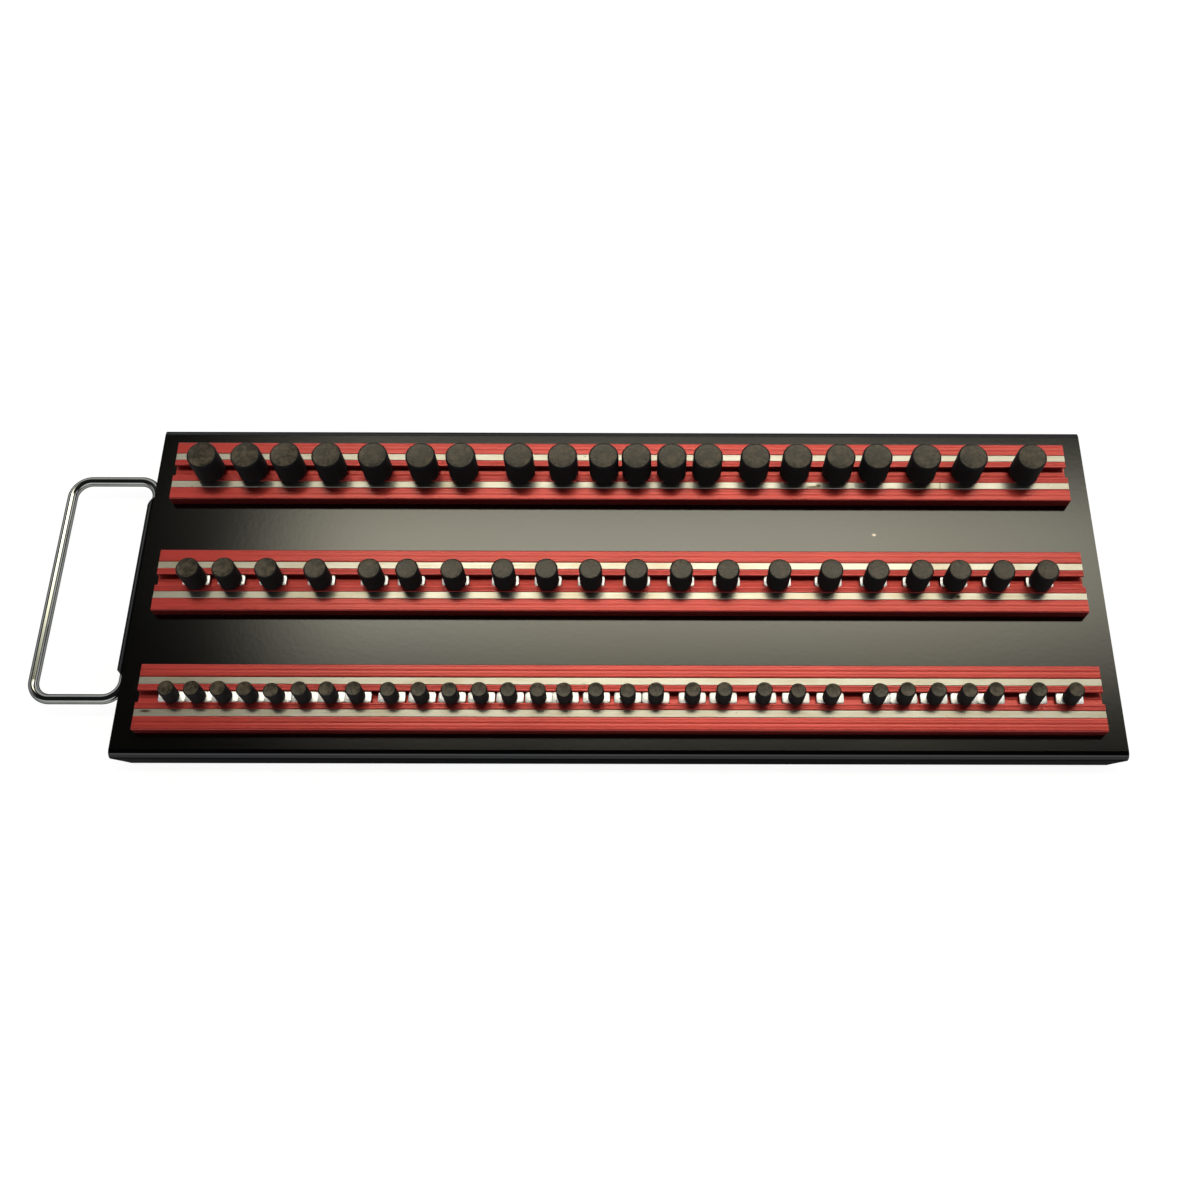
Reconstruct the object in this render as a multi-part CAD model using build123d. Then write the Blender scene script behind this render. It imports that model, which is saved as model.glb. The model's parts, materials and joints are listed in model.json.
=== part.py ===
from build123d import *
import math
import os

# Socket organizer tray for a drawer: a folded sheet-metal tray, three slotted rails with steel strips over magnets,
# socket posts that slide on clips in the rails, and a wire carry handle in a rolled knuckle on the left edge.
# +X runs along the rails away from the handle, +Y to the rear, +Z up. Millimetres. The origin is the centre of the
# outline's bottom, and z = 0 is the surface that the flanges stand on.

# ---- driving dimensions ----
tray_w = 457.2            # left cut edge to right cut edge
tray_d = 168.4            # outside of the front flange to outside of the rear flange
tray_h = 11.0             # height of the tray's top face
sheet_t = 1.5             # sheet thickness
bend_r = 3.4              # outside radius of the flange bends
flange_cut = 7.0          # corner cut at the lower ends of the flanges

wire_r = 2.38             # handle wire radius
knuckle_gap = 0.08        # running clearance round the wire
knuckle_half = 45.6       # half length of the rolled knuckle
knuckle_chamfer = 3.4     # slanted ends of the knuckle's tab
handle_reach = 41.6       # pivot axis to the middle of the grip wire
handle_half = 56.3        # pivot centre to the middle of each leg
handle_bend = 8.8         # centre-line radius of the wire's bends
handle_end = 20.0         # half gap between the wire's two ends in the knuckle
handle_tilt = 0.0         # angle of the legs above level, against the tray's edge

rail_len = 436.6
rail_w = 31.0
rail_h = 6.0
rail_edge_r = 0.5         # rounding of the rail's long top edges
rail_y = {"half": 57.7, "three_eighths": -0.65, "quarter": -58.05}
rail_x = {"half": -0.5, "three_eighths": 0.0, "quarter": 0.5}      # middle of each rail

slot_half = 2.75          # half width of the slot's mouth
lip_t = 1.0               # thickness of the lips over the slot
cavity_half = 4.4         # half width of the slot under the lips
floor_t = 2.8             # rail thickness under the slot
groove_in = 5.85          # slot centre to the inner side of a strip groove
groove_w = 3.5
groove_d = 3.6
strip_w = 3.25
strip_t = 1.4
magnet_w = 3.1

clip_t = 0.5              # thickness of the clip's wings
clip_half_w = 4.1         # half width of the wings
clip_neck_half = 2.55     # half width of the clip between the lips
clip_sink = 0.6           # clip plate below the rail's top face
boss_r = 2.4              # round seat on the plate, under the post
post_lift = 0.1           # underside of the posts above the rail's top face
clip_len = {"half": 12.7, "three_eighths": 12.7, "quarter": 11.8}
stud_r = 1.5              # core stud of a clip inside its post

post_r = {"half": 7.15, "three_eighths": 5.35, "quarter": 3.65}
post_h = {"half": 15.6, "three_eighths": 13.4, "quarter": 10.2}
post_bevel = {"half": 0.8, "three_eighths": 0.7, "quarter": 0.5}

screw_x = (-165.0, -55.0, 55.0, 165.0)
screw_r = 1.95
screw_head_r = 3.5
screw_head_h = 2.4
screw_depth = 2.0
screw_hole_r = 2.2
rail_hole_r = 2.0

# post positions along each rail, from the tray's middle
post_x = {
    "half": [-200.8, -179.8, -161.2, -141.1, -119.1, -96.2, -77.1, -49.4, -28.3, -8.5,
             7.3, 24.3, 41.5, 64.4, 84.5, 105.1, 122.8, 146.2, 168.4, 196.7],
    "three_eighths": [-199.5, -183.0, -163.4, -140.7, -115.8, -98.4, -77.6, -54.2, -34.1, -13.8,
                      7.5, 28.3, 49.8, 73.8, 97.7, 119.0, 139.2, 156.8, 176.9, 197.3],
    "quarter": [-201.9, -189.9, -178.0, -166.1, -154.2, -142.2, -130.1, -118.1, -102.8, -89.1,
                -75.6, -62.3, -49.4, -36.4, -24.5, -10.4, 3.8, 16.4, 32.9, 46.9,
                64.7, 79.7, 95.2, 116.2, 128.4, 142.1, 155.9, 167.9, 187.0, 203.5],
}
# posts that slide as one carriage, by first and last post of each group
groups = {
    "half": [(0, 3), (4, 4), (5, 6), (7, 12), (13, 16), (17, 17), (18, 18), (19, 19)],
    "three_eighths": [(0, 2), (3, 3), (4, 6), (7, 11), (12, 12), (13, 13), (14, 14), (15, 19)],
    "quarter": [(0, 7), (8, 17), (18, 19), (20, 21), (22, 22), (23, 27), (28, 28), (29, 29)],
}

# ---- derived ----
half_w = tray_w / 2
half_d = tray_d / 2
knuckle_in = wire_r + knuckle_gap
knuckle_out = knuckle_in + sheet_t
pivot_x = -half_w
pivot_z = tray_h - knuckle_out
tilt = math.radians(handle_tilt)
grip_x = pivot_x - handle_reach * math.cos(tilt)
x_mid = (half_w + grip_x - wire_r) / 2      # middle of the whole outline, handle included
rail_z = tray_h
rail_top = tray_h + rail_h
floor_z = rail_z + floor_t

os.makedirs("parts", exist_ok=True)


def write(name, shape):
    moved = shape.moved(Location((-x_mid, 0, 0)))
    moved.label = name
    export_step(moved, os.path.join("parts", name + ".step"))
    print(name, len(shape.solids()), "solids", round(shape.volume, 1), "mm3")


# ---- base tray ----
outer = make_face(Polyline(
    (-half_d, 0), (-half_d, tray_h), (half_d, tray_h), (half_d, 0),
    (half_d - sheet_t, 0), (half_d - sheet_t, tray_h - sheet_t),
    (-half_d + sheet_t, tray_h - sheet_t), (-half_d + sheet_t, 0), (-half_d, 0)))
section = Sketch() + outer
top_corners = [v for v in section.vertices() if abs(v.Y - tray_h) < 1e-6]
section = fillet(top_corners, bend_r)
inner_corners = [v for v in section.vertices()
                 if abs(v.Y - (tray_h - sheet_t)) < 1e-6 and abs(abs(v.X) - (half_d - sheet_t)) < 1e-6]
section = fillet(inner_corners, bend_r - sheet_t)
yz = Plane(origin=(-half_w, 0, 0), x_dir=(0, 1, 0), z_dir=(1, 0, 0))
tray = extrude(yz * section, tray_w)

# corner cuts at the lower ends of the two flanges
for sx in (-1, 1):
    cut = make_face(Polyline(
        (sx * (half_w + 1), -1), (sx * (half_w - flange_cut), -1), (sx * (half_w - flange_cut), 0),
        (sx * (half_w - flange_cut + 1.6), 1.9), (sx * half_w, flange_cut), (sx * (half_w + 1), flange_cut),
        (sx * (half_w + 1), -1)))
    xz = Plane(origin=(0, half_d + 1, 0), x_dir=(1, 0, 0), z_dir=(0, -1, 0))
    tray -= extrude(xz * cut, tray_d + 2)

# rolled knuckle on the left edge
roll_end = math.radians(32)
roll = Circle(knuckle_out) - Circle(knuckle_in)
gap = make_face(Polyline(
    (0, 0), (0, 3 * knuckle_out), (3 * knuckle_out, 3 * knuckle_out),
    (3 * knuckle_out, 3 * knuckle_out * math.tan(roll_end)), (0, 0)))
roll = roll - gap
front = Plane(origin=(pivot_x, knuckle_half, pivot_z), x_dir=(1, 0, 0), z_dir=(0, -1, 0))
knuckle = extrude(front * roll, 2 * knuckle_half)
# the tab's ends are cut on a slant, so that the outer side of the roll is shorter than the edge it grows from
for sy in (-1, 1):
    wedge = make_face(Polyline(
        (pivot_x - 0.2, sy * (knuckle_half + 0.5)), (pivot_x - 2 * knuckle_out, sy * (knuckle_half + 0.5)),
        (pivot_x - 2 * knuckle_out, sy * (knuckle_half - knuckle_chamfer)),
        (pivot_x - knuckle_out, sy * (knuckle_half - knuckle_chamfer)),
        (pivot_x - 0.2, sy * (knuckle_half + 0.5))))
    knuckle -= extrude(Plane.XY * wedge, tray_h + 5)
tray += knuckle

# screw holes
for ry in rail_y.values():
    for sx in screw_x:
        tray -= Pos(sx, ry, tray_h - sheet_t / 2) * Cylinder(screw_hole_r, sheet_t * 3)

write("base_tray", tray)

# ---- carry handle ----
out_dir = Vector(-math.cos(tilt), 0, math.sin(tilt))
p0 = Vector(pivot_x, 0, pivot_z)


def hp(u, v):
    return p0 + out_dir * u + Vector(0, v, 0)


path = FilletPolyline(
    hp(0, handle_end), hp(0, handle_half), hp(handle_reach, handle_half),
    hp(handle_reach, -handle_half), hp(0, -handle_half), hp(0, -handle_end), radius=handle_bend)
start = Plane(origin=hp(0, handle_end), z_dir=(0, 1, 0))
handle = sweep(start * Circle(wire_r), path=path)
write("carry_handle", handle)

# ---- rails ----
hw = rail_w / 2
rail_section = make_face(Polyline((-hw, 0), (hw, 0), (hw, rail_h), (-hw, rail_h), (-hw, 0)))
rail_section = Sketch() + rail_section
rail_section = fillet([v for v in rail_section.vertices() if v.Y > rail_h - 1e-6], rail_edge_r)
rail_section -= Pos(0, rail_h - lip_t / 2 + 0.5) * Rectangle(2 * slot_half, lip_t + 1)
rail_section -= Pos(0, (floor_t + rail_h - lip_t) / 2) * Rectangle(2 * cavity_half, rail_h - lip_t - floor_t)
for s in (-1, 1):
    rail_section -= (Pos(s * (groove_in + groove_w / 2), rail_h - groove_d / 2 + 0.5)
                     * Rectangle(groove_w, groove_d + 1))
    # shallow recess along the underside, one each side of the screws
    rail_section -= Pos(s * 9.5, 0) * Rectangle(7.0, 1.6)

for name, ry in rail_y.items():
    rx = rail_x[name]
    plane = Plane(origin=(rx - rail_len / 2, ry, rail_z), x_dir=(0, 1, 0), z_dir=(1, 0, 0))
    rail = extrude(plane * rail_section, rail_len)
    for sx in screw_x:
        rail -= Pos(sx, ry, rail_z + screw_depth / 2 + 0.1) * Cylinder(rail_hole_r, screw_depth + 0.2)
    write("rail_" + name, rail)

    strips = []
    magnets = []
    for s in (-1, 1):
        gy = ry + s * (groove_in + groove_w / 2)
        strips.append(Pos(rx, gy, rail_top - strip_t / 2) * Box(rail_len, strip_w, strip_t))
        mh = groove_d - strip_t
        magnets.append(Pos(rx, gy, rail_top - strip_t - mh / 2) * Box(rail_len - 4, magnet_w, mh))
    strips = [chamfer(b.edges().filter_by(Axis.X).sort_by(Axis.Z)[-2:], 0.15) for b in strips]
    write("steel_strips_" + name, Compound(children=[Part() + b for b in strips]))
    write("magnets_" + name, Compound(children=[Part() + b for b in magnets]))

# ---- rail screws: pan heads under the tray ----
screws = []
for ry in rail_y.values():
    for sx in screw_x:
        head = Pos(sx, ry, tray_h - sheet_t - screw_head_h / 2) * Cylinder(screw_head_r, screw_head_h)
        head = fillet(head.edges().filter_by(GeomType.CIRCLE).sort_by(Axis.Z)[0], 0.9)
        head -= Pos(sx, ry, tray_h - sheet_t - screw_head_h) * extrude(RegularPolygon(1.45, 6), 1.3)
        shank = (Pos(sx, ry, (tray_h - sheet_t + rail_z + screw_depth) / 2)
                 * Cylinder(screw_r, rail_z + screw_depth - (tray_h - sheet_t)))
        screws.append(head + shank)
write("rail_screws", Compound(children=screws))


# ---- posts and slide clips ----
def make_clip(kind):
    length = clip_len[kind]
    lip_z = rail_top - lip_t
    wing_top = lip_z - 0.2
    wings = Pos(0, 0, wing_top - clip_t / 2) * Box(length - 0.4, 2 * clip_half_w, clip_t)
    wings = fillet(wings.edges().filter_by(Axis.Z), 1.0)
    plate_top = rail_top - clip_sink
    neck = (Pos(0, 0, (wing_top + plate_top) / 2)
            * Box(length, 2 * clip_neck_half, plate_top - wing_top))
    neck = fillet(neck.edges().filter_by(Axis.Z), 1.1)
    seat = rail_top + post_lift
    boss = Pos(0, 0, (plate_top + seat) / 2 - 0.1) * Cylinder(boss_r, seat - plate_top + 0.2)
    # bowed spring leaf under the wings, bearing on the slot's floor
    zb = wing_top - clip_t
    lh = length / 2 - 1.0
    leaf = make_face(Polyline(
        (-lh, zb + 0.1), (-lh, zb - 0.35), (-1.2, floor_z + 0.12), (1.2, floor_z + 0.12), (lh, zb - 0.35),
        (lh, zb + 0.1), (lh - 0.6, zb + 0.1), (1.0, floor_z + 0.62), (-1.0, floor_z + 0.62), (-lh + 0.6, zb + 0.1),
        (-lh, zb + 0.1)))
    lp = Plane(origin=(0, 2.5, 0), x_dir=(1, 0, 0), z_dir=(0, -1, 0))
    leaf = extrude(lp * leaf, 5.0)
    stud_h = post_h[kind] * 0.55
    stud = Pos(0, 0, seat + stud_h / 2 - 0.2) * Cylinder(stud_r, stud_h + 0.4)
    return wings + neck + leaf + boss + stud, stud_h


def make_post(kind, stud_h):
    z0 = rail_top + post_lift
    h = post_h[kind]
    body = Pos(0, 0, z0 + h / 2) * Cylinder(post_r[kind], h)
    rims = body.edges().filter_by(GeomType.CIRCLE).sort_by(Axis.Z)
    body = chamfer(rims[-1], post_bevel[kind])
    low = body.edges().filter_by(GeomType.CIRCLE).sort_by(Axis.Z)
    body = chamfer(low[0], 0.2)
    body -= Pos(0, 0, z0 + stud_h / 2) * Cylinder(stud_r, stud_h)
    return body


for kind, ry in rail_y.items():
    clip, stud_h = make_clip(kind)
    post = make_post(kind, stud_h)
    for n, (a, b) in enumerate(groups[kind], 1):
        xs = post_x[kind][a:b + 1]
        word = "post" if len(xs) == 1 else "posts"
        cword = "clip" if len(xs) == 1 else "clips"
        write("%s_%s_%d" % (word, kind, n), Compound(children=[Pos(x, ry, 0) * post for x in xs]))
        write("%s_%s_%d" % (cword, kind, n), Compound(children=[Pos(x, ry, 0) * clip for x in xs]))

# ---- room each carriage has along its rail, half of every gap between neighbours ----
for kind in rail_y:
    half = max(clip_len[kind] / 2, post_r[kind])
    prev_end = None
    gs = groups[kind]
    for n, (a, b) in enumerate(gs, 1):
        lo = post_x[kind][a] - half
        hi = post_x[kind][b] + half
        left = (lo + rail_len / 2 - rail_x[kind]) if n == 1 else (lo - (post_x[kind][a - 1] + half)) / 2
        right = (rail_len / 2 + rail_x[kind] - hi) if n == len(gs) else ((post_x[kind][b + 1] - half) - hi) / 2
        print("range", kind, n, round(-(left - 0.1), 2), round(right - 0.1, 2))
print("x_mid", round(x_mid, 3), "pivot", round(pivot_x - x_mid, 3), round(pivot_z, 3))
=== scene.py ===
import json
import math

import bmesh
import bpy
from mathutils import Matrix, Vector, noise


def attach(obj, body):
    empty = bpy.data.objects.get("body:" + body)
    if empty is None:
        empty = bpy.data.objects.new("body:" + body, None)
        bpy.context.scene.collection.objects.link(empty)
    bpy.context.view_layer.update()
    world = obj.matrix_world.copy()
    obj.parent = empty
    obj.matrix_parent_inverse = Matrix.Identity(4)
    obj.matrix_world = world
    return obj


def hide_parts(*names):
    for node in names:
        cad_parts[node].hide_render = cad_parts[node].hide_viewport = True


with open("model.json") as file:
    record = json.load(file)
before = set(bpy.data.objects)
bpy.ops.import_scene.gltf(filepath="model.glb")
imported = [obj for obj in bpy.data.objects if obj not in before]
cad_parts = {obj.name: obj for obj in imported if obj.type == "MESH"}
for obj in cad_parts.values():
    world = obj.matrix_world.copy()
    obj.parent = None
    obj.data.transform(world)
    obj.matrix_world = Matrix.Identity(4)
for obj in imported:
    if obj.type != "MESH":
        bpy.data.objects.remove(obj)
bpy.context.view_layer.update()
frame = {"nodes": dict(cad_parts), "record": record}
nodes = frame["nodes"]
record = frame["record"]
bodies_of = record["behaviour"]["bodies"]
body_of = {n: b for b, names in bodies_of.items() for n in names}
KINDS = ("half", "three_eighths", "quarter")


# ------------------------------------------------------------------ node helpers
class Mat:
    """A small builder for procedural node materials."""

    def __init__(self, name):
        self.m = bpy.data.materials.new(name)
        self.m.use_nodes = True
        self.t = self.m.node_tree
        self.t.nodes.clear()
        self.out = self.add("ShaderNodeOutputMaterial")
        self.b = self.add("ShaderNodeBsdfPrincipled")
        self.link(self.b, 0, self.out, "Surface")

    def add(self, kind, **props):
        n = self.t.nodes.new(kind)
        for k, v in props.items():
            setattr(n, k, v)
        return n

    def link(self, a, out, b, inp):
        self.t.links.new(a.outputs[out], b.inputs[inp])

    def put(self, **vals):
        for k, v in vals.items():
            self.b.inputs[k.replace("_", " ")].default_value = v

    def coords(self, scale=(1, 1, 1), kind="Object"):
        tc = self.add("ShaderNodeTexCoord")
        mp = self.add("ShaderNodeMapping")
        mp.inputs["Scale"].default_value = scale
        self.link(tc, kind, mp, "Vector")
        return mp

    def noise(self, scale, detail=3.0, rough=0.55, stretch=(1, 1, 1), distortion=0.0):
        mp = self.coords(stretch)
        n = self.add("ShaderNodeTexNoise")
        n.inputs["Scale"].default_value = scale
        n.inputs["Detail"].default_value = detail
        n.inputs["Roughness"].default_value = rough
        n.inputs["Distortion"].default_value = distortion
        self.link(mp, "Vector", n, "Vector")
        return n

    def ramp(self, src, out, stops):
        r = self.add("ShaderNodeValToRGB")
        e = r.color_ramp.elements
        while len(e) > 1:
            e.remove(e[-1])
        e[0].position, e[0].color = stops[0][0], (*stops[0][1], 1)
        for pos, col in stops[1:]:
            k = e.new(pos)
            k.color = (*col, 1)
        self.link(src, out, r, "Fac")
        return r

    def span(self, src, out, a, b, c, d):
        r = self.add("ShaderNodeMapRange")
        for k, v in zip(("From Min", "From Max", "To Min", "To Max"), (a, b, c, d)):
            r.inputs[k].default_value = v
        self.link(src, out, r, "Value")
        return r

    def bump(self, src, out, strength, distance, after=None):
        n = self.add("ShaderNodeBump")
        n.inputs["Strength"].default_value = strength
        n.inputs["Distance"].default_value = distance
        self.link(src, out, n, "Height")
        if after is not None:
            self.link(after, "Normal", n, "Normal")
        return n

    def mix(self, fac, a, b, mode="MIX"):
        """fac is a number or (node, out); a and b are colours or (node, out)."""
        n = self.add("ShaderNodeMix", data_type="RGBA", blend_type=mode)
        for key, v in ((0, fac), (6, a), (7, b)):
            if isinstance(v, tuple) and hasattr(v[0], "outputs"):
                self.t.links.new(v[0].outputs[v[1]], n.inputs[key])
            elif key == 0:
                n.inputs[0].default_value = v
            else:
                n.inputs[key].default_value = (*v, 1)
        return n

    def math(self, op, a, b=0.0, clamp=False):
        n = self.add("ShaderNodeMath", operation=op, use_clamp=clamp)
        for i, v in enumerate((a, b)):
            if isinstance(v, tuple):
                self.t.links.new(v[0].outputs[v[1]], n.inputs[i])
            else:
                n.inputs[i].default_value = v
        return n

    def spot(self, centre, size, soft=0.35):
        """1 inside an ellipsoid at centre (metres), 0 outside."""
        tc = self.add("ShaderNodeTexCoord")
        sub = self.add("ShaderNodeVectorMath", operation="SUBTRACT")
        self.link(tc, "Object", sub, 0)
        sub.inputs[1].default_value = centre
        div = self.add("ShaderNodeVectorMath", operation="DIVIDE")
        self.link(sub, 0, div, 0)
        div.inputs[1].default_value = size
        ln = self.add("ShaderNodeVectorMath", operation="LENGTH")
        self.link(div, 0, ln, 0)
        return self.span(ln, "Value", 1.0 - soft, 1.0 + soft, 1.0, 0.0)


# ------------------------------------------------------------------ materials
def black_sheet():
    k = Mat("black_sheet")
    k.put(Metallic=1.0, IOR=1.5, Specular_Tint=(0.34, 0.34, 0.34, 1.0))
    big = k.noise(9.0, 2.0, 0.5)
    fine = k.noise(2600.0, 2.0, 0.6)
    orange = k.noise(520.0, 2.0, 0.5)
    col = k.ramp(big, "Fac", [(0.3, (0.0292, 0.0298, 0.0312)), (0.7, (0.0318, 0.0314, 0.0312))])
    speck = k.add("ShaderNodeTexVoronoi")
    speck.inputs["Scale"].default_value = 55.0
    mp = k.coords()
    k.link(mp, "Vector", speck, "Vector")
    dot = k.span(speck, "Distance", 0.012, 0.02, 1.0, 0.0)
    pick = k.noise(7.0, 0.0)
    few = k.span(pick, "Fac", 0.66, 0.7, 0.0, 0.6)
    amount = k.math("MULTIPLY", (dot, 0), (few, 0), clamp=True)
    grain = k.spot((0.14412, 0.02632, 0.011), (0.0009, 0.0006, 0.001))
    amount = k.math("MAXIMUM", (amount, 0), (grain, 0), clamp=True)
    colour = k.mix((amount, 0), (col, 0), (0.11, 0.10, 0.09))
    k.link(colour, 2, k.b, "Base Color")
    r = k.span(big, "Fac", 0.3, 0.7, 0.12, 0.15)
    k.link(r, 0, k.b, "Roughness")
    b1 = k.bump(orange, "Fac", 0.05, 0.00016)
    b2 = k.bump(fine, "Fac", 0.04, 0.00004, b1)
    k.link(b2, "Normal", k.b, "Normal")
    return k.m


def red_anodised():
    k = Mat("red_anodised")
    k.put(Metallic=0.9, Specular_IOR_Level=0.5, Coat_Weight=0.25, Coat_Roughness=0.16, Coat_IOR=1.5)
    lines = k.noise(1.0, 4.0, 0.7, stretch=(6.0, 2600.0, 2600.0))
    wide = k.noise(1.0, 3.0, 0.6, stretch=(2.0, 420.0, 420.0))
    cloud = k.noise(26.0, 3.0, 0.5)
    col = k.ramp(wide, "Fac", [(0.25, (0.335, 0.034, 0.029)), (0.75, (0.385, 0.045, 0.039))])
    mot = k.ramp(cloud, "Fac", [(0.3, (0.93, 0.88, 0.88)), (0.7, (1.06, 1.12, 1.14))])
    colour = k.mix(1.0, (col, 0), (mot, 0), "MULTIPLY")
    k.link(colour, 2, k.b, "Base Color")
    r = k.span(lines, "Fac", 0.3, 0.7, 0.34, 0.46)
    k.link(r, 0, k.b, "Roughness")
    b1 = k.bump(lines, "Fac", 0.07, 0.00002)
    b2 = k.bump(wide, "Fac", 0.012, 0.00003, b1)
    k.link(b2, "Normal", k.b, "Normal")
    return k.m


def polished_strip():
    k = Mat("polished_strip")
    k.put(Metallic=1.0)
    lines = k.noise(1.0, 4.0, 0.7, stretch=(10.0, 4200.0, 4200.0))
    worn = k.noise(34.0, 4.0, 0.6, stretch=(1.0, 2.2, 2.2))
    spots = k.noise(420.0, 2.0, 0.5)
    col = k.ramp(worn, "Fac", [(0.30, (0.25, 0.226, 0.182)), (0.52, (0.30, 0.290, 0.262)), (0.72, (0.33, 0.325, 0.305))])
    rust = k.span(spots, "Fac", 0.72, 0.8, 0.0, 0.55)
    for c, s in (((-0.19069, -0.06504, 0.017), (0.0022, 0.0005, 0.002)),
                 ((0.11514, 0.04925, 0.017), (0.0035, 0.0005, 0.002)),
                 ((0.11774, 0.04975, 0.017), (0.0012, 0.0009, 0.002)),
                 ((0.17984, -0.0086, 0.017), (0.0012, 0.0010, 0.002))):
        rust = k.math("MAXIMUM", (rust, 0), (k.spot(c, s, 0.5), 0), clamp=True)
    colour = k.mix((rust, 0), (col, 0), (0.05, 0.035, 0.02))
    k.link(colour, 2, k.b, "Base Color")
    r = k.span(lines, "Fac", 0.3, 0.7, 0.26, 0.34)
    k.link(r, 0, k.b, "Roughness")
    b1 = k.bump(lines, "Fac", 0.15, 0.00003)
    k.link(b1, "Normal", k.b, "Normal")
    return k.m


def chrome():
    k = Mat("chrome_wire")
    k.put(Metallic=1.0, Specular_Tint=(0.04, 0.045, 0.05, 1.0))
    cloud = k.noise(60.0, 3.0, 0.5)
    drawn = k.noise(900.0, 3.0, 0.6)
    col = k.ramp(cloud, "Fac", [(0.3, (0.185, 0.195, 0.185)), (0.7, (0.235, 0.24, 0.225))])
    k.link(col, 0, k.b, "Base Color")
    r = k.span(cloud, "Fac", 0.3, 0.7, 0.06, 0.11)
    k.link(r, 0, k.b, "Roughness")
    b1 = k.bump(drawn, "Fac", 0.012, 0.00002)
    k.link(b1, "Normal", k.b, "Normal")
    return k.m


def clip_steel():
    k = Mat("clip_steel")
    k.put(Metallic=0.85, Specular_IOR_Level=0.6)
    cloud = k.noise(150.0, 3.0, 0.5)
    lines = k.noise(1.0, 3.0, 0.6, stretch=(3200.0, 60.0, 60.0))
    col = k.ramp(cloud, "Fac", [(0.3, (0.95, 0.96, 0.97)), (0.7, (0.99, 0.99, 0.99))])
    k.link(col, 0, k.b, "Base Color")
    r = k.span(lines, "Fac", 0.3, 0.7, 0.40, 0.52)
    k.link(r, 0, k.b, "Roughness")
    b1 = k.bump(lines, "Fac", 0.06, 0.00002)
    k.link(b1, "Normal", k.b, "Normal")
    return k.m


def zinc_screw():
    k = Mat("screw_steel")
    k.put(Metallic=1.0)
    cloud = k.noise(320.0, 4.0, 0.6)
    col = k.ramp(cloud, "Fac", [(0.3, (0.42, 0.43, 0.46)), (0.7, (0.60, 0.60, 0.60))])
    k.link(col, 0, k.b, "Base Color")
    r = k.span(cloud, "Fac", 0.3, 0.7, 0.28, 0.42)
    k.link(r, 0, k.b, "Roughness")
    b1 = k.bump(cloud, "Fac", 0.06, 0.00003)
    k.link(b1, "Normal", k.b, "Normal")
    return k.m


def magnet():
    k = Mat("magnet")
    k.put(Metallic=0.0)
    grain = k.noise(900.0, 4.0, 0.6)
    col = k.ramp(grain, "Fac", [(0.3, (0.030, 0.024, 0.020)), (0.7, (0.06, 0.048, 0.04))])
    k.link(col, 0, k.b, "Base Color")
    r = k.span(grain, "Fac", 0.3, 0.7, 0.6, 0.8)
    k.link(r, 0, k.b, "Roughness")
    b1 = k.bump(grain, "Fac", 0.2, 0.00005)
    k.link(b1, "Normal", k.b, "Normal")
    return k.m


def post_rubber():
    k = Mat("post_rubber")
    k.put(Metallic=0.0, Specular_IOR_Level=0.23)
    mott = k.noise(260.0, 4.0, 0.68)
    dust = k.noise(1500.0, 3.0, 0.6)
    # painted light: faces pointing straight up get a colour far lighter than the rims and sides, a painted lit top
    # over painted shade on the sides and rounded rim; the mottle within each colour is the rubber's own
    geo = k.add("ShaderNodeNewGeometry")
    sep = k.add("ShaderNodeSeparateXYZ")
    k.link(geo, "Normal", sep, "Vector")
    up = k.span(sep, "Z", 0.975, 0.998, 0.0, 1.0)
    side = k.ramp(mott, "Fac", [(0.3, (0.0005, 0.0006, 0.0007)), (0.7, (0.0012, 0.0012, 0.0013))])
    top = k.ramp(mott, "Fac", [(0.34, (0.012, 0.0088, 0.0050)), (0.50, (0.034, 0.0258, 0.0145)), (0.66, (0.085, 0.066, 0.040))])
    # lays the painted lit top over the painted shaded sides and rim
    colour = k.mix((up, 0), (side, 0), (top, 0))
    k.link(colour, 2, k.b, "Base Color")
    r1 = k.span(mott, "Fac", 0.3, 0.7, 0.68, 0.80)
    less = k.math("MULTIPLY", (up, 0), 0.46)
    r = k.math("SUBTRACT", (r1, 0), (less, 0), clamp=True)
    k.link(r, 0, k.b, "Roughness")
    b1 = k.bump(mott, "Fac", 0.22, 0.00012)
    b2 = k.bump(dust, "Fac", 0.15, 0.00004, b1)
    k.link(b2, "Normal", k.b, "Normal")
    return k.m


MATS = {
    "black_sheet": black_sheet(), "chrome_wire": chrome(), "red_anodised": red_anodised(),
    "polished_strip": polished_strip(), "magnet": magnet(), "screw_steel": zinc_screw(),
    "post_rubber": post_rubber(), "clip_steel": clip_steel(),
}
slot_of = {s["node"]: s["material_slot"] for s in record["subparts"]}
for name, ob in nodes.items():
    ob.data.materials.clear()
    ob.data.materials.append(MATS[slot_of[name]])


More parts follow.
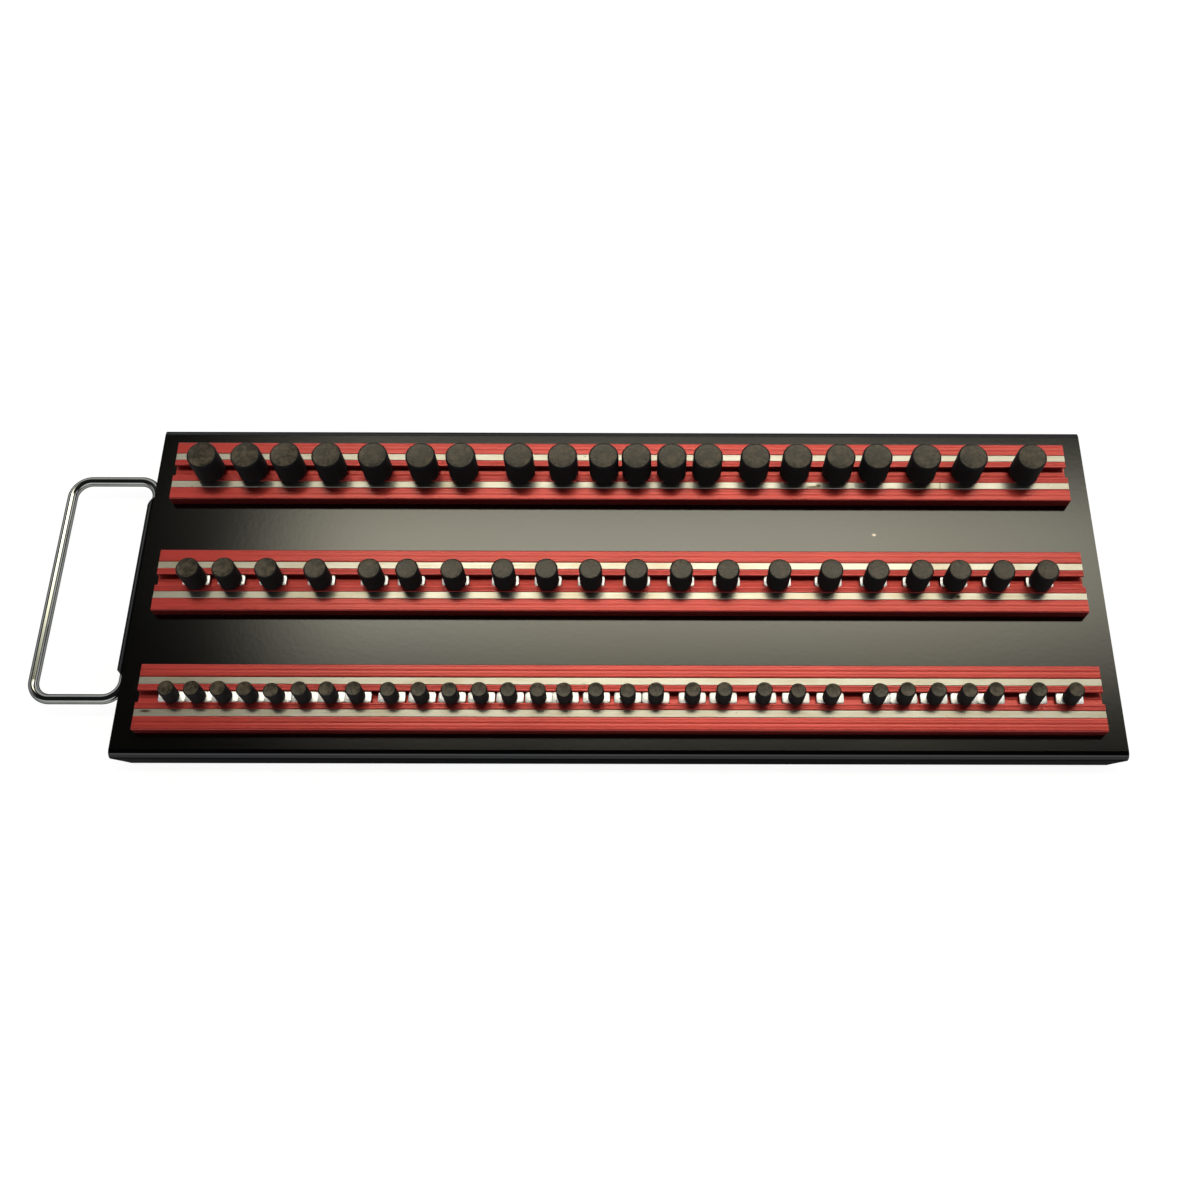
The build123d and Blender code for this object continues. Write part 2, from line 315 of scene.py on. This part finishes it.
# ------------------------------------------------------------------ mesh helpers (millimetres in, metres out)
class Shape:
    def __init__(self):
        self.v = []
        self.f = []

    def rings(self, rings, closed_ring=True, caps=True):
        """Joins rings of equal length into a skin, with a face over each end."""
        base = len(self.v)
        n = len(rings[0])
        for ring in rings:
            self.v.extend(ring)
        for i in range(len(rings) - 1):
            a, b = base + i * n, base + (i + 1) * n
            for j in range(n):
                k = (j + 1) % n
                self.f.append((a + j, a + k, b + k, b + j))
        if caps:
            self.f.append(tuple(base + j for j in reversed(range(n))))
            last = base + (len(rings) - 1) * n
            self.f.append(tuple(last + j for j in range(n)))

    def piece(self, name, node, angle=30.0):
        me = bpy.data.meshes.new(name)
        me.from_pydata([(x / 1000, y / 1000, z / 1000) for x, y, z in self.v], [], self.f)
        bm = bmesh.new()
        bm.from_mesh(me)
        bmesh.ops.recalc_face_normals(bm, faces=bm.faces)
        big = [f for f in bm.faces if len(f.verts) > 4]
        if big:
            bmesh.ops.triangulate(bm, faces=big, ngon_method="EAR_CLIP")
        bm.to_mesh(me)
        bm.free()
        me.polygons.foreach_set("use_smooth", [True] * len(me.polygons))
        me.set_sharp_from_angle(angle=math.radians(angle))
        me.update()
        ob = bpy.data.objects.new(name, me)
        bpy.context.scene.collection.objects.link(ob)
        slot = slot_of[node]
        me.materials.append(MATS[slot])
        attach(ob, body_of[node])
        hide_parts(node)
        return ob


def rounded(length, width, r, n=5):
    """A rounded rectangle round the origin, counterclockwise."""
    pts = []
    for cx, cy, a0 in ((1, 1, 0), (-1, 1, 90), (-1, -1, 180), (1, -1, 270)):
        for i in range(n + 1):
            a = math.radians(a0 + 90 * i / n)
            pts.append((cx * (length / 2 - r) + r * math.cos(a), cy * (width / 2 - r) + r * math.sin(a)))
    return pts


X_SHIFT = 21.990          # from the tray's middle to the frame's origin
RAIL_Y = {"half": 57.7, "three_eighths": -0.65, "quarter": -58.05}
RAIL_X = {"half": -0.5, "three_eighths": 0.0, "quarter": 0.5}
RAIL_LEN, RAIL_TOP, RAIL_Z = 436.6, 17.0, 11.0


def rail_profile():
    """Half of the rail's section from the slot's middle outwards, as (y, z) above the rail's underside."""
    h = 6.0

    def corner(y, z, r, a0, a1, n=4):
        return [(y + r * math.cos(math.radians(a0 + (a1 - a0) * i / n)),
                 z + r * math.sin(math.radians(a0 + (a1 - a0) * i / n))) for i in range(n + 1)]

    def line(y, w=0.11, d=0.03):
        return [(y - w, h), (y, h - d), (y + w, h)]

    p = [(0.25, 2.8), (4.4, 2.8), (4.4, 5.0), (2.75, 5.0)]
    p += corner(2.75 + 0.2, h - 0.2, 0.2, 180, 90)
    p += line(4.0) + line(4.75, 0.08, 0.02)
    p += corner(5.85 - 0.15, h - 0.15, 0.15, 90, 0, 3)
    p += [(5.85, 2.4), (9.35, 2.4)]
    p += corner(9.35 + 0.15, h - 0.15, 0.15, 180, 90, 3)
    p += line(10.7, 0.08, 0.008) + line(12.4, 0.1, 0.014) + line(14.2, 0.08, 0.008)
    p += corner(15.5 - 0.5, h - 0.5, 0.5, 90, 0, 6)
    p += [(15.5, 0.25), (15.25, 0.0), (13.0, 0.0), (13.0, 0.8), (6.0, 0.8), (6.0, 0.0)]
    return p


def build_rails():
    half = rail_profile()
    # a small scratch of the die along the middle of the slot's floor
    floor_line = [(0.25, 2.8), (0.0, 2.75), (-0.25, 2.8)]
    loop = half + [(-y, z) for y, z in reversed(half)] + [floor_line[1]]
    for kind in KINDS:
        y0, x0 = RAIL_Y[kind], RAIL_X[kind] + X_SHIFT
        s = Shape()
        xs = [x0 - RAIL_LEN / 2] + [x0 - RAIL_LEN / 2 + RAIL_LEN * i / 24 for i in range(1, 24)] + [x0 + RAIL_LEN / 2]
        s.rings([[(x, y0 + y, RAIL_Z + z) for y, z in loop] for x in xs])
        s.piece("anodised_rail_" + kind, "rail_" + kind, 25.0)


def build_strips():
    gaps = {"half": {-1: [155.0]}, "three_eighths": {}, "quarter": {}}
    for kind in KINDS:
        s = Shape()
        for side in (-1, 1):
            y0 = RAIL_Y[kind] + side * 7.6
            ends = [RAIL_X[kind] - RAIL_LEN / 2 + 0.05]
            for g in gaps[kind].get(side, []):
                ends += [g - 0.12, g + 0.12]
            ends.append(RAIL_X[kind] + RAIL_LEN / 2 - 0.05)
            for a, b in zip(ends[::2], ends[1::2]):
                w, c = 3.25 / 2, 0.09
                n = max(2, int((b - a) / 4.0))
                rings = []
                for i in range(n + 1):
                    x = a + (b - a) * i / n
                    wave = 0.008 * noise.noise(Vector((x * 0.055, y0 * 0.3, 1.7))) - 0.010
                    tilt = 0.002 * noise.noise(Vector((x * 0.03, y0 * 0.3, 7.7)))
                    top = RAIL_TOP + wave
                    rings.append([(x + X_SHIFT, y0 + yy, zz) for yy, zz in (
                        (-w, RAIL_TOP - 1.4), (w, RAIL_TOP - 1.4), (w, top - c), (w - 0.05, top - c * 0.3),
                        (w - c, top - tilt), (0.0, top), (-w + c, top + tilt), (-w + 0.05, top - c * 0.3),
                        (-w, top - c))])
                s.rings(rings)
        s.piece("drawn_strips_" + kind, "steel_strips_" + kind, 25.0)


# posts: middle of each along the rail from the tray's middle, and how far its top leans (mm)
POST_X = {
    "half": [-200.8, -179.8, -161.2, -141.1, -119.1, -96.2, -77.1, -49.4, -28.3, -8.5,
             7.3, 24.3, 41.5, 64.4, 84.5, 105.1, 122.8, 146.2, 168.4, 196.7],
    "three_eighths": [-199.5, -183.0, -163.4, -140.7, -115.8, -98.4, -77.6, -54.2, -34.1, -13.8,
                      7.5, 28.3, 49.8, 73.8, 97.7, 119.0, 139.2, 156.8, 176.9, 197.3],
    "quarter": [-201.9, -189.9, -178.0, -166.1, -154.2, -142.2, -130.1, -118.1, -102.8, -89.1,
                -75.6, -62.3, -49.4, -36.4, -24.5, -10.4, 3.8, 16.4, 32.9, 46.9,
                64.7, 79.7, 95.2, 116.2, 128.4, 142.1, 155.9, 167.9, 187.0, 203.5],
}
GROUPS = {
    "half": [(0, 3), (4, 4), (5, 6), (7, 12), (13, 16), (17, 17), (18, 18), (19, 19)],
    "three_eighths": [(0, 2), (3, 3), (4, 6), (7, 11), (12, 12), (13, 13), (14, 14), (15, 19)],
    "quarter": [(0, 7), (8, 17), (18, 19), (20, 21), (22, 22), (23, 27), (28, 28), (29, 29)],
}
LEAN_X = {"quarter": [0.5, -0.2, -0.3, -0.4, -0.4, -0.1, 0, 0, 0, 0, 0, 0, 0, 0.2, -0.1, 0, 0, 0, 0, 0,
                      0, 0, 0, 0, 0, 0, 0, 0, 0, 0]}
LEAN_Y = {"quarter": [0.4, 0.4, 0.4, 0.1, -0.5, 0.2, 0.2, 0.3, 0.0, 0.1, -0.1, 0.1, 0.0, -0.1, -0.1, 0.0, -0.4, 0.1, 0.2,
                      0.3, 0.3, -0.2, -0.2, 0.0, 0.5, 0.4, 0.2, 0.6, 0.6, 0.6]}
POST_R = {"half": 7.15, "three_eighths": 5.35, "quarter": 3.65}
POST_H = {"half": 15.6, "three_eighths": 13.4, "quarter": 10.2}
POST_BEV = {"half": 0.85, "three_eighths": 0.75, "quarter": 0.55}
PLATE_L = {"half": 12.6, "three_eighths": 12.6, "quarter": 12.3}
SEAT = RAIL_TOP + 0.1


def lean(kind, i):
    lx = LEAN_X.get(kind)
    ly = LEAN_Y.get(kind)
    k = KINDS.index(kind)
    dx = lx[i] if lx else 0.22 * noise.noise(Vector((i * 1.37 + 0.3, k * 3.1, 0.2)))
    dy = ly[i] if ly else 0.35 * noise.noise(Vector((i * 1.91 + 0.7, k * 2.3, 5.2)))
    return dx, dy


def add_post(s, kind, i, x, y):
    r, h, b = POST_R[kind], POST_H[kind], POST_BEV[kind]
    prof = [(r - 0.22, 0.0), (r, 0.22), (r + 0.0, h * 0.18), (r - 0.02, h * 0.5), (r, h - b)]
    for j in range(1, 6):
        a = math.radians(90 * j / 5)
        prof.append((r - b + b * math.cos(a), h - b + b * math.sin(a)))
    prof += [(r - b - 0.25, h - 0.015), (r * 0.62, h - 0.05), (r * 0.34, h - 0.07), (r * 0.08, h - 0.07)]
    dx, dy = lean(kind, i)
    n = 48
    rings = []
    for pr, pz in prof:
        ring = []
        for j in range(n):
            a = 2 * math.pi * j / n
            w = 0.03 * noise.noise(Vector((math.cos(a) * 1.3 + i * 3.7, math.sin(a) * 1.3, pz * 0.18 + r)))
            rr = pr + min(0.0, w - 0.015)
            t = pz / h
            ring.append((x + X_SHIFT + rr * math.cos(a) + dx * t, y + rr * math.sin(a) + dy * t, SEAT + pz))
        rings.append(ring)
    s.rings(rings)


def add_clip(s, kind, i, x, y):
    length = PLATE_L[kind]
    top = RAIL_TOP - 0.6
    cx = x + X_SHIFT

    def layer(pts, z):
        return [(cx + px, y + py, z) for px, py in pts]

    turn = 0.06 * noise.noise(Vector((i * 2.3, KINDS.index(kind) * 1.9, 3.3)))
    # visible plate with rounded corners, its ends a touch lower than its middle
    rings = []
    for grow, z in ((-0.1, top - 0.6), (0.0, top - 0.5), (0.0, top - 0.12), (-0.06, top - 0.03), (-0.16, top)):
        ring = []
        for px, py in rounded(length + 2 * grow, 5.1 + 2 * grow, 1.1 + grow):
            ring.append((cx + px, y + py, z - 0.12 * (px / (length / 2)) ** 4 + turn * px / length))
        rings.append(ring)
    s.rings(rings)
    # wings that hold it under the lips
    s.rings([layer(rounded(length - 0.6, 8.2, 1.0), z) for z in (top - 1.1, top - 0.6)])
    # bowed spring leaf on the slot's floor
    lh = length / 2 - 1.0
    leaf = []
    for j in range(13):
        t = -1 + j / 6
        zz = 13.95 + 0.9 * abs(t) ** 1.6
        leaf.append([(cx + lh * t, y - 2.4, zz), (cx + lh * t, y + 2.4, zz), (cx + lh * t, y + 2.4, zz + 0.35),
                     (cx + lh * t, y - 2.4, zz + 0.35)])
    s.rings(leaf)
    # round seat under the post
    seat = []
    for rr, z in ((2.35, top - 0.05), (2.35, SEAT - 0.1), (2.25, SEAT)):
        seat.append([(cx + rr * math.cos(2 * math.pi * j / 24), y + rr * math.sin(2 * math.pi * j / 24), z)
                     for j in range(24)])
    s.rings(seat)


def build_posts_and_clips():
    for kind in KINDS:
        y = RAIL_Y[kind]
        for n, (a, b) in enumerate(GROUPS[kind], 1):
            many = "s" if b > a else ""
            posts, clips = Shape(), Shape()
            for i in range(a, b + 1):
                add_post(posts, kind, i, POST_X[kind][i], y)
                add_clip(clips, kind, i, POST_X[kind][i], y)
            posts.piece("rubber_post_%s_%d" % (kind, n), "post%s_%s_%d" % (many, kind, n), 50.0)
            clips.piece("spring_clip_%s_%d" % (kind, n), "clip%s_%s_%d" % (many, kind, n), 40.0)


build_rails()
build_strips()
build_posts_and_clips()


# ------------------------------------------------------------------ floor
def floor_material():
    k = Mat("pale_floor")
    n = k.noise(3.0, 3.0, 0.5)
    col = k.ramp(n, "Fac", [(0.3, (0.19, 0.19, 0.19)), (0.7, (0.21, 0.21, 0.21))])
    k.link(col, 0, k.b, "Base Color")
    # lit from below, as a light table is
    k.put(Roughness=0.9, Specular_IOR_Level=0.1, Emission_Color=(1, 1, 1, 1), Emission_Strength=0.9)
    return k.m


me = bpy.data.meshes.new("floor")
bm = bmesh.new()
bmesh.ops.create_grid(bm, x_segments=8, y_segments=8, size=6.0)
bm.to_mesh(me)
bm.free()
floor = bpy.data.objects.new("floor", me)
bpy.context.scene.collection.objects.link(floor)
floor.location = (0, 0, -0.0002)
me.materials.append(floor_material())


# ------------------------------------------------------------------ studio light
def studio_world():
    w = bpy.data.worlds.new("studio")
    bpy.context.scene.world = w
    w.use_nodes = True
    t = w.node_tree
    t.nodes.clear()

    def add(kind, **props):
        n = t.nodes.new(kind)
        for k, v in props.items():
            setattr(n, k, v)
        return n

    def math_(op, a, b=0.0, clamp=False):
        n = add("ShaderNodeMath", operation=op, use_clamp=clamp)
        for i, v in enumerate((a, b)):
            if isinstance(v, (int, float)):
                n.inputs[i].default_value = v
            else:
                t.links.new(v, n.inputs[i])
        return n.outputs[0]

    def smooth(x, a, b):
        """0 at a and 1 at b, whichever is larger."""
        n = add("ShaderNodeMapRange", interpolation_type="SMOOTHSTEP")
        lo, hi = (a, b) if a < b else (b, a)
        n.inputs["From Min"].default_value = lo
        n.inputs["From Max"].default_value = hi
        n.inputs["To Min"].default_value = 0.0 if a < b else 1.0
        n.inputs["To Max"].default_value = 1.0 if a < b else 0.0
        t.links.new(x, n.inputs["Value"])
        return n.outputs[0]

    def col(c, *s):
        f = s[0]
        for g in s[1:]:
            f = math_("MULTIPLY", f, g)
        n = add("ShaderNodeVectorMath", operation="SCALE")
        n.inputs[0].default_value = c
        if isinstance(f, (int, float)):
            n.inputs["Scale"].default_value = f
        else:
            t.links.new(f, n.inputs["Scale"])
        return n.outputs[0]

    def plus(p, q):
        n = add("ShaderNodeVectorMath", operation="ADD")
        t.links.new(p, n.inputs[0])
        t.links.new(q, n.inputs[1])
        return n.outputs[0]

    tc = add("ShaderNodeTexCoord")
    sep = add("ShaderNodeSeparateXYZ")
    t.links.new(tc.outputs["Generated"], sep.inputs[0])
    x, y, z = sep.outputs
    zc = math_("MAXIMUM", z, 0.02)
    a = math_("DIVIDE", x, zc)       # to the right of straight up
    b = math_("DIVIDE", y, zc)       # to the rear of straight up
    # narrow soft panel, a little to the rear of overhead
    total = col((11.7, 11.0, 8.6), smooth(a, -0.36, -0.23), smooth(a, 0.80, 0.12), smooth(b, 0.296, 0.458),
                smooth(b, 0.575, 0.485))
    # walls of light, low enough to stay out of the flat faces' reflections, over a pale grey horizon
    lift = smooth(z, 0.20, 0.34)
    total = plus(total, col((1.3, 1.3, 1.32), smooth(b, 0.84, 1.1), lift))
    total = plus(total, col((1.2, 1.2, 1.22), smooth(a, 0.9, 1.4), smooth(b, -0.6, 0.0), lift))
    total = plus(total, col((0.8, 0.8, 0.84), smooth(a, -1.0, -1.4), smooth(b, -0.6, 0.0), lift))
    total = plus(total, col((2.0, 2.0, 2.04), smooth(b, -1.0, -1.5), lift))
    total = plus(total, col((0.70, 0.71, 0.72), smooth(z, 0.34, 0.20)))
    total = plus(total, col((0.03, 0.03, 0.032), 1.0))
    bg = add("ShaderNodeBackground")
    bg.inputs["Strength"].default_value = 1.0
    t.links.new(total, bg.inputs["Color"])
    out = add("ShaderNodeOutputWorld")
    t.links.new(bg.outputs[0], out.inputs["Surface"])
    return w


studio_world()


# ------------------------------------------------------------------ camera
def camera():
    cd = bpy.data.cameras.new("camera")
    cam = bpy.data.objects.new("camera", cd)
    bpy.context.scene.collection.objects.link(cam)
    cd.sensor_fit = "HORIZONTAL"
    cd.sensor_width = 36.0
    cd.lens = 1290.563 / 1200 * 36.0
    cd.shift_x = (600 - 644.436) / 1200
    cd.shift_y = (546.767 - 600) / 1200
    cd.clip_start, cd.clip_end = 0.01, 50.0
    e, yaw, roll = (math.radians(v) for v in (64.91564, 0.28314, -0.40239))
    fw = Vector((math.sin(yaw) * math.cos(e), math.cos(yaw) * math.cos(e), -math.sin(e)))
    right = Vector((math.cos(yaw), -math.sin(yaw), 0.0))
    down = fw.cross(right)
    r2 = math.cos(roll) * right + math.sin(roll) * down
    d2 = -math.sin(roll) * right + math.cos(roll) * down
    rot = Matrix((r2, -d2, -fw)).transposed()
    cam.matrix_world = Matrix.Translation((0.031893, -0.243384, 0.573088)) @ rot.to_4x4()
    bpy.context.scene.camera = cam
    return cam


camera()
scene = bpy.context.scene
scene.view_settings.view_transform = "Standard"
scene.view_settings.look = "None"
scene.view_settings.exposure = 0.0
scene.view_settings.gamma = 1.0
